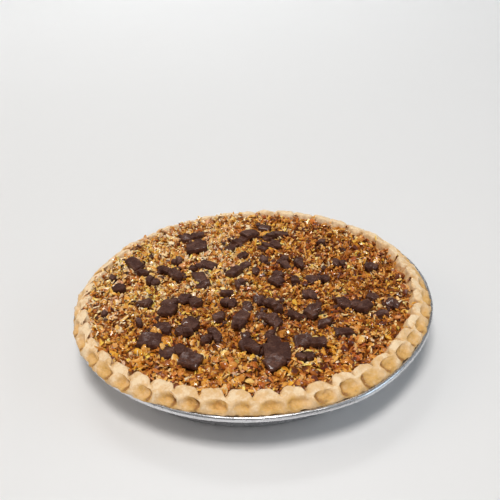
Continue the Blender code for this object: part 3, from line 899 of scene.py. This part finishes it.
nutSet = {
    "cell": 0.6,             # of the grid that holds how high the nuts lie so far
    "half": 115,
    "highest": 3.6,          # above the bare filling
    "highestAtEdge": (2.3, 4.6),    # at the front, and where they are heaped against the crust
    "heapedAt": (140, 64),   # the middle of that heap and its half width
    "spill": 3.2,            # how far they lie over the crest there
    "frontShare": 0.6,       # of the large bits that lie at the front
    "frontArc": (-145, -35),
    "triesOffChocolate": 12,
    "patchSize": 11.0,       # of the redder, the more golden, the darker and the paler patches
    # pale slivers round one chip: place in x and y, length, width, turn and count, their tone and its spread
    "ring": (32, -77.5, 16.0, 12.6, 10, 22),
    "ringTone": (0.80, 0.10),
    "crestZ": 37.6,
    # each kind's number, length, width and thickness as shares of that, shapes and how they are made,
    # how far it leans in degrees, and its tone and that tone's spread
    "kinds": {
        "nut_crumbs": dict(
            count=4200, length=(1.4, 3.0), width=(0.6, 0.95), thick=(0.4, 0.8),
            shapes=16, corners=9, rounding=0, lean=45, tone=(0.52, 0.299)),
        "nut_chips": dict(
            count=3700, length=(2.8, 5.6), width=(0.45, 0.8), thick=(0.25, 0.5),
            shapes=20, corners=13, rounding=0, lean=42, tone=(0.52, 0.299)),
        "nut_slivers": dict(
            count=2600, length=(3.4, 6.8), width=(0.24, 0.40), thick=(0.12, 0.24),
            shapes=14, corners=10, rounding=0, lean=50, tone=(0.72, 0.1955)),
        "nut_large": dict(
            count=330, length=(4.6, 8.4), width=(0.5, 0.8), thick=(0.3, 0.45),
            shapes=14, corners=13, rounding=1, lean=26, tone=(0.54, 0.184)),
    },
    # what a tone gains as painted light in the heap behind on the left, loses as painted shade to the right,
    # and varies by from patch to patch
    "paintedLightHeaped": 0.30,
    "paintedShadeRight": 0.08,
    "patchTone": 0.16,
    "glazed": (0.55, 0.55, 0.28),   # the middle glaze, how it varies in patches and from bit to bit
    "skinShare": 0.55,       # of the bits that have their brown skin on one side
    "frontPieces": ((-16, -71), (-5, -86), (8, -90), (-24, -85), (-44, -84), (24, -90), (44, -80)),
    "tones": (
        (0.00, (0.115, 0.022, 0.004)),
        (0.20, (0.34, 0.090, 0.012)),
        (0.42, (0.64, 0.235, 0.032)),
        (0.62, (0.84, 0.420, 0.080)),
        (0.82, (0.93, 0.630, 0.240)),
        (1.00, (0.95, 0.790, 0.520)),
    ),
    "glazes": (
        (0.00, (0.80, 0.50, 0.42)),
        (0.45, (1.0, 1.0, 1.0)),
        (0.70, (1.0, 1.0, 1.0)),
        (1.00, (1.0, 0.97, 0.40)),
    ),
}


def nutFinish():
    s = nutSet
    finish = Finish("candied_pecans", IOR=1.45, Coat_Roughness=0.05, Specular_IOR_Level=0.15)
    tone = finish.painted("tone")
    skin = finish.painted("skin")
    cloud = finish.grain(1.5, 4, 0.6)
    fine = finish.grain(0.5, 3, 0.6, seed=8.0)
    wrinkles = finish.grain(0.9, 3, 0.6, (1, 2.6, 1), 3.0)
    shade = tone - skin * 0.34 + (cloud - 0.5) * 0.34 + (fine - 0.5) * 0.16
    tint = finish.ramp(finish.painted("glaze"), *s["glazes"])
    finish.wear(
        Base_Color=finish.mix(1.0, finish.ramp(shade, *s["tones"]), tint, "MULTIPLY"),
        Roughness=0.30 + fine * 0.22,
        Coat_Weight=finish.span(finish.grain(6.0, 2, 0.5, seed=1.0), 0.35, 0.6, 0.4, 1.0),
        Normal=finish.bump(wrinkles, 0.22, finish.bump(fine, 0.10)),
    )
    return finish


def shard(kind, draws):
    # one chopped bit, about 2 across in every direction
    form = bmesh.new()
    for _ in range(kind["corners"]):
        spot = Vector([draws.gauss(0, 1) for _ in range(3)]).normalized()
        form.verts.new(spot * draws.uniform(0.8, 1.15))
    hull = bmesh.ops.convex_hull(form, input=form.verts)
    loose = [item for item in hull["geom_interior"] if isinstance(item, bmesh.types.BMVert)]
    bmesh.ops.delete(form, geom=loose, context="VERTS")
    mesh = bpy.data.meshes.new("shard")
    form.to_mesh(mesh)
    form.free()
    thing = bpy.data.objects.new("shard", mesh)
    bpy.context.scene.collection.objects.link(thing)
    if kind["rounding"]:
        soften = thing.modifiers.new("soften", "SUBSURF")
        soften.levels = kind["rounding"]
    graph = bpy.context.evaluated_depsgraph_get()
    mesh = bpy.data.meshes.new_from_object(thing.evaluated_get(graph))
    bpy.data.objects.remove(thing, do_unlink=True)
    form = bmesh.new()
    form.from_mesh(mesh)
    bmesh.ops.triangulate(form, faces=form.faces)
    form.verts.ensure_lookup_table()
    points = np.array([spot.co[:] for spot in form.verts])
    faces = np.array([[spot.index for spot in face.verts] for face in form.faces])
    form.free()
    points /= np.abs(points).max(axis=0)
    if kind["rounding"]:
        rough = softNoise(points, 0.8, draws.uniform(1, 50), 2)
        points *= (1 + 0.16 * rough)[:, None]
    return points, faces


def lumpOutlines():
    s = chocolateSet
    return np.array([
        (x, y, length * s["growth"] / 2, width * s["growth"] / 2, math.radians(turn))
        for cluster in s["clusters"] for x, y, length, width, turn in cluster
    ])


def nutJobs(draws):
    # the bits to lay in their order, each with its kind, and its place and heading where those are set
    s = nutSet
    jobs = []
    for name, kind in s["kinds"].items():
        jobs += [(name, None, None)] * kind["count"]
    draws.shuffle(jobs)
    jobs += [("nut_large", spot, None) for spot in s["frontPieces"]]
    ringX, ringY, ringLength, ringWidth, ringTurn, ringCount = s["ring"]
    for step in range(ringCount):
        turn = fullTurn * step / ringCount
        aim = Euler((0, 0, math.radians(ringTurn))).to_matrix() @ Vector((
            math.cos(turn) * ringLength / 2, math.sin(turn) * ringWidth / 2, 0))
        spot = (ringX + aim.x + draws.gauss(0, 0.4), ringY + aim.y + draws.gauss(0, 0.4))
        jobs.append(("nut_slivers", spot, turn + math.radians(ringTurn + 90) + draws.gauss(0, 0.25)))
    return jobs


def makeNuts():
    s = nutSet
    draws = random.Random(23)
    cell, half = s["cell"], s["half"]
    axis = np.arange(-half, half, cell)
    gridX, gridY = np.meshgrid(axis, axis, indexing="ij")

    def heapedAt(x, y):
        away = (np.degrees(np.arctan2(y, x)) - s["heapedAt"][0] + 180) % 360 - 180
        return 1 - smooth(s["heapedAt"][1] * 0.6, s["heapedAt"][1], np.abs(away))

    def bareAt(x, y):
        top = fillingTop(x, y)
        edge = fillingReach(x, y)
        return top + smooth(edge, edge + 3.5, np.hypot(x, y)) * np.maximum(0, s["crestZ"] - top)

    heights = bareAt(gridX, gridY)
    outlines = lumpOutlines()

    def onChocolate(x, y, margin):
        dx, dy = x - outlines[:, 0], y - outlines[:, 1]
        along = dx * np.cos(outlines[:, 4]) + dy * np.sin(outlines[:, 4])
        aside = -dx * np.sin(outlines[:, 4]) + dy * np.cos(outlines[:, 4])
        reached = (along / (outlines[:, 2] + margin)) ** 2 + (aside / (outlines[:, 3] + margin)) ** 2
        return bool((reached < 1).any())

    def settle(x, y, reach, thick):
        # rests a bit on what lies there, and returns its middle's height
        low = [max(0, int((v + half - reach) / cell)) for v in (x, y)]
        high = [int((v + half + reach) / cell) + 1 for v in (x, y)]
        part = (slice(low[0], high[0]), slice(low[1], high[1]))
        patch = heights[part]
        away = np.hypot(gridX[part] - x, gridY[part] - y) / reach
        under = away < 1
        bareHere = bareAt(x, y)
        across = math.hypot(x, y)
        edge = fillingReach(x, y)
        atEdge = between(*s["highestAtEdge"], heapedAt(x, y))
        highest = between(s["highest"], atEdge, smooth(92, 104, across))
        highest *= 1 - 0.75 * smooth(edge, edge + 4, across)
        level = min(patch[under].mean() if under.any() else bareHere, bareHere + highest - thick * 0.6)
        middle = level + thick * 0.28
        cover = middle + thick / 2 * np.sqrt(np.clip(1 - away ** 2, 0, 1))
        patch[under] = np.maximum(patch[under], cover[under])
        return middle

    jobs = nutJobs(draws)
    shapes, made = {}, {}
    for name, kind in s["kinds"].items():
        shapes[name] = [shard(kind, draws) for _ in range(kind["shapes"])]
        made[name] = {"points": [], "faces": [], "tone": [], "skin": [], "glaze": [], "count": 0}
    for name, spot, heading in jobs:
        kind = s["kinds"][name]
        length = draws.uniform(*kind["length"])
        width = length * draws.uniform(*kind["width"])
        thick = length * draws.uniform(*kind["thick"])
        if spot is None:
            atFront = name == "nut_large" and draws.random() < s["frontShare"]
            for _ in range(s["triesOffChocolate"]):
                if atFront:
                    turn = math.radians(draws.uniform(*s["frontArc"]))
                else:
                    turn = draws.uniform(-math.pi, math.pi)
                reach = innerWall(np.array([turn]))[0] + 0.6 - width * 0.4
                reach += s["spill"] * heapedAt(math.cos(turn), math.sin(turn)) * (1 - length / 13)
                away = math.sqrt(draws.uniform(0.45 if atFront else 0, 1)) * reach
                x, y = away * math.cos(turn), away * math.sin(turn)
                if not onChocolate(x, y, width * 0.28 - 1.1):
                    break
            else:
                continue
        else:
            x, y = spot
        middle = settle(x, y, max(width * 0.62, 0.9), thick)
        lean = math.radians(kind["lean"])
        turned = Euler((draws.gauss(0, lean), draws.gauss(0, lean), draws.uniform(0, fullTurn)), "ZYX")
        if heading is not None:
            turned = Euler((0, 0, heading))
        turned = np.array(turned.to_matrix())
        points, faces = draws.choice(shapes[name])
        local = points * np.array([length, width, thick]) / 2
        bit = made[name]
        bit["points"].append(local @ turned.T + np.array([x, y, middle]))
        bit["faces"].append(faces + bit["count"])
        bit["count"] += len(points)
        place = np.array([[x, y, 0]])
        patch = softNoise(place, s["patchSize"], 61, 2)[0]
        middleTone, spread = kind["tone"]
        # painted light: bits are paler in the heap behind on the left; painted shade: darker to the right
        middleTone += s["paintedLightHeaped"] * heapedAt(x, y) - s["paintedShadeRight"] * x / 100 + s["patchTone"] * patch
        tone = draws.gauss(middleTone, spread)
        if heading is not None:
            tone = draws.gauss(*s["ringTone"])
        middleGlaze, inPatches, apart = s["glazed"]
        glaze = draws.gauss(middleGlaze + inPatches * softNoise(place, s["patchSize"], 83, 2)[0], apart)
        hasSkin = draws.random() < s["skinShare"] and heading is None
        skinSide = smooth(0.15, 0.45, points[:, 2]) * hasSkin
        bit["tone"].append(np.full(len(points), min(1.0, max(0.0, tone))))
        bit["glaze"].append(np.full(len(points), min(1.0, max(0.0, glaze))))
        bit["skin"].append(skinSide)
    finish = nutFinish()
    for name, bit in made.items():
        points = np.concatenate(bit["points"])
        faces = np.concatenate(bit["faces"])
        mesh = meshFrom(name, points, faces.tolist())
        for layer in ("tone", "skin", "glaze"):
            paint(mesh, layer, np.concatenate(bit[layer]))
        addPiece(name, mesh, finish, (), 35)
        print(f"{name}: {len(bit['points'])} bits, {len(faces)} triangles")


studioSet = {
    "floorSize": 6.0,        # metres
    "floorPale": (0.80, 0.79, 0.785),
    "floorShade": (0.775, 0.765, 0.755),
    "worldColour": (1.0, 0.99, 0.98),
    "worldStrength": 0.23,
    # a lamp's place and aim in metres, its size, power in watts, spread in degrees and colour
    "lamps": {
        "softbox_above": ((-0.05, -0.82, 2.25), (0, 0, 0.03), 0.70, 38, 180, (1.0, 0.985, 0.965)),
        "window_left": ((-2.0, 0.1, 1.6), (0, 0, 0.03), 1.2, 9, 180, (1.0, 0.90, 0.79)),
        "window_right": ((2.0, -0.5, 1.2), (0, 0, 0.03), 1.2, 9, 180, (0.66, 0.85, 1.0)),
        "back_wash": ((-0.2, 1.6, 1.8), (-0.1, 1.35, 0), 1.2, 7.2, 75, (0.93, 0.97, 1.0)),
    },
}

cameraSet = {
    "target": (0, 0, 0.030),     # metres
    "distance": 0.57,
    "elevation": 33.69,
    "roll": -3.56,
    "focalPixels": 820.9,
    "targetPixel": (249.97, 296.78),
    "imageSize": 500,
    "sensor": 36.0,
}


def makeFloor():
    s = studioSet
    finish = Finish("white_table")
    cloud = finish.grain(700, 2, 0.5)
    finish.wear(
        Base_Color=finish.mix(cloud, s["floorShade"], s["floorPale"]),
        Roughness=0.30 + finish.grain(40, 2, 0.5) * 0.1,
    )
    mesh = bpy.data.meshes.new("floor")
    half = s["floorSize"] / 2
    corners = [(-half, -half, 0), (half, -half, 0), (half, half, 0), (-half, half, 0)]
    mesh.from_pydata(corners, [], [(0, 1, 2, 3)])
    floor = bpy.data.objects.new("floor", mesh)
    mesh.materials.append(finish.material)
    bpy.context.scene.collection.objects.link(floor)


def lightStudio():
    s = studioSet
    scene = bpy.context.scene
    scene.view_settings.view_transform = "Standard"
    world = bpy.data.worlds.new("studio")
    world.use_nodes = True
    sky = world.node_tree.nodes["Background"]
    sky.inputs["Color"].default_value = (*s["worldColour"], 1)
    sky.inputs["Strength"].default_value = s["worldStrength"]
    scene.world = world
    for name, (place, aim, size, power, spread, colour) in s["lamps"].items():
        lamp = bpy.data.lights.new(name, "AREA")
        lamp.size = size
        lamp.energy = power
        lamp.spread = math.radians(spread)
        lamp.color = colour
        holder = bpy.data.objects.new(name, lamp)
        holder.location = place
        holder.rotation_mode = "QUATERNION"
        holder.rotation_quaternion = (Vector(aim) - Vector(place)).to_track_quat("-Z", "Y")
        scene.collection.objects.link(holder)


def placeCamera():
    s = cameraSet
    elevation, roll = math.radians(s["elevation"]), math.radians(s["roll"])
    back = Vector((0, -math.cos(elevation), math.sin(elevation)))
    aimed = (-back).to_track_quat("-Z", "Y")
    rolled = Quaternion((0, 0, 1), roll)
    middle = s["imageSize"] / 2
    pixelX, pixelY = s["targetPixel"]
    aside = Vector((pixelX - middle, middle - pixelY, -s["focalPixels"])).normalized()
    turned = Vector((0, 0, -1)).rotation_difference(aside)
    lens = bpy.data.cameras.new("camera")
    lens.sensor_width = s["sensor"]
    lens.lens = s["sensor"] * s["focalPixels"] / s["imageSize"]
    lens.clip_start, lens.clip_end = 0.01, 20
    camera = bpy.data.objects.new("camera", lens)
    camera.rotation_mode = "QUATERNION"
    camera.rotation_quaternion = aimed @ rolled @ turned.inverted()
    camera.location = Vector(s["target"]) + back * s["distance"]
    bpy.context.scene.collection.objects.link(camera)
    bpy.context.scene.camera = camera


placeCamera()
lightStudio()
makeFloor()
print("studio ready")
makeTin()
print("tin ready")
makeCrust()
print("crust ready")
makeSyrup()
print("syrup ready")
makeChocolate()
print("chocolate ready")
makeNuts()
print("nuts ready")
